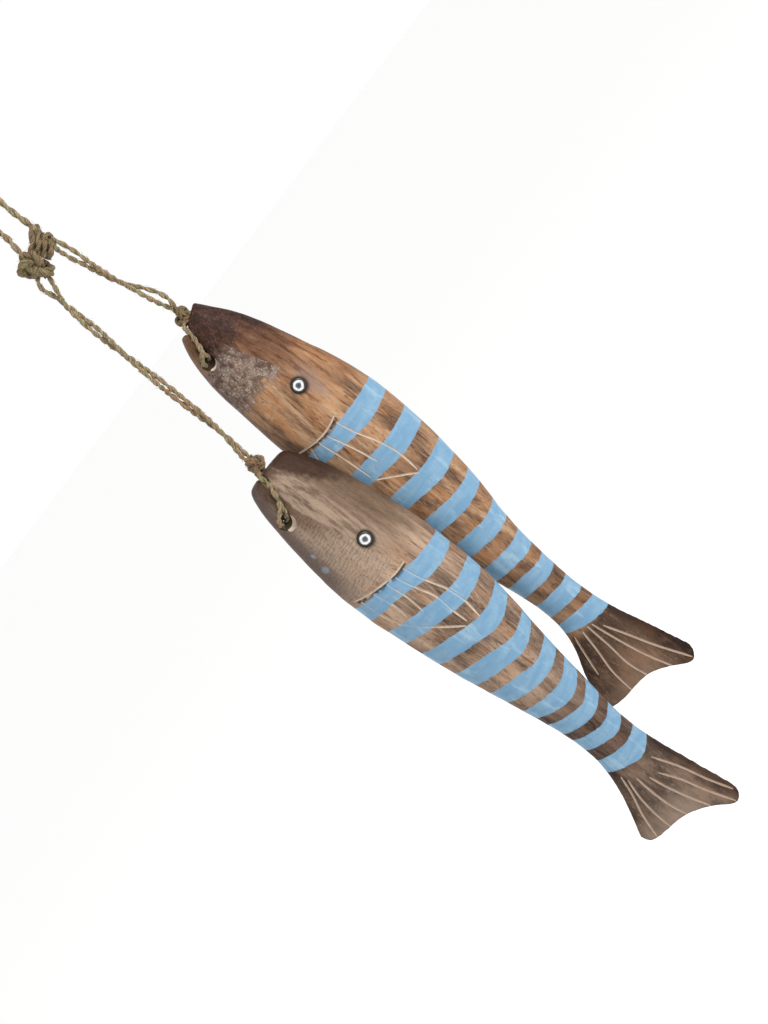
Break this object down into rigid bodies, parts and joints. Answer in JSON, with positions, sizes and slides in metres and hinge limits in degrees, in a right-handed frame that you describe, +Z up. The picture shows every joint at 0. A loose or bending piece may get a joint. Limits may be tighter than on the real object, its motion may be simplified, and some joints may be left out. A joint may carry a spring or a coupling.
{
  "type": "hanging bunch of carved wooden fish",
  "caption": "Carved wooden fish with painted stripes, hung head up on doubled natural twine from a knotted hanging loop.",
  "frame": {"origin": "inside top of the hanging loop, where a nail or hook carries the bunch", "axes": "+Z up along the hanging twine, +X towards the fishes' backs, -Y towards the side the front fish hangs on"},
  "size_m": [0.1041, 0.0532, 0.4976],
  "materials": {
    "twine": "dry two-ply natural fibre twine",
    "front_fish_wood": "waxed grey-brown carved wood with satin sky-blue painted stripes",
    "rear_fish_wood": "waxed red-brown carved wood with satin sky-blue painted stripes",
    "eye_paint": "white paint with a dark grey pupil and a black rim, over wood"
  },
  "bodies": {
    "hanger": {"hanging_loop": "twine", "gathering_knot": "twine"},
    "front_line": {"front_twine_left": "twine", "front_twine_right": "twine", "front_snout_knot": "twine"},
    "front_fish": {"front_fish_body": "front_fish_wood", "front_near_eye": "eye_paint", "front_far_eye": "eye_paint", "front_mouth_strand_left": "twine", "front_mouth_strand_right": "twine"},
    "rear_line": {"rear_twine_left": "twine", "rear_twine_right": "twine", "rear_snout_knot": "twine"},
    "rear_fish": {"rear_fish_body": "rear_fish_wood", "rear_near_eye": "eye_paint", "rear_far_eye": "eye_paint", "rear_mouth_strand_left": "twine", "rear_mouth_strand_right": "twine"}
  },
  "joints": [
    {"name": "front_line_swing", "type": "hinge", "parent": "hanger", "child": "front_line", "pos_m": [-0.0087, 0, -0.0472], "axis": [0, 1, 0], "range_deg": [0, 35]},
    {"name": "front_fish_turn", "type": "hinge", "parent": "front_line", "child": "front_fish", "pos_m": [-0.0215, -0.0105, -0.1888], "axis": [0, 0, 1], "range_deg": [-60, 0]},
    {"name": "rear_line_swing", "type": "hinge", "parent": "hanger", "child": "rear_line", "pos_m": [0.0057, 0, -0.0438], "axis": [0, 1, 0], "range_deg": [-35, 0]},
    {"name": "rear_fish_turn", "type": "hinge", "parent": "rear_line", "child": "rear_fish", "pos_m": [0.0158, 0.0105, -0.1174], "axis": [0, 0, 1], "range_deg": [-60, 0]}
  ]
}
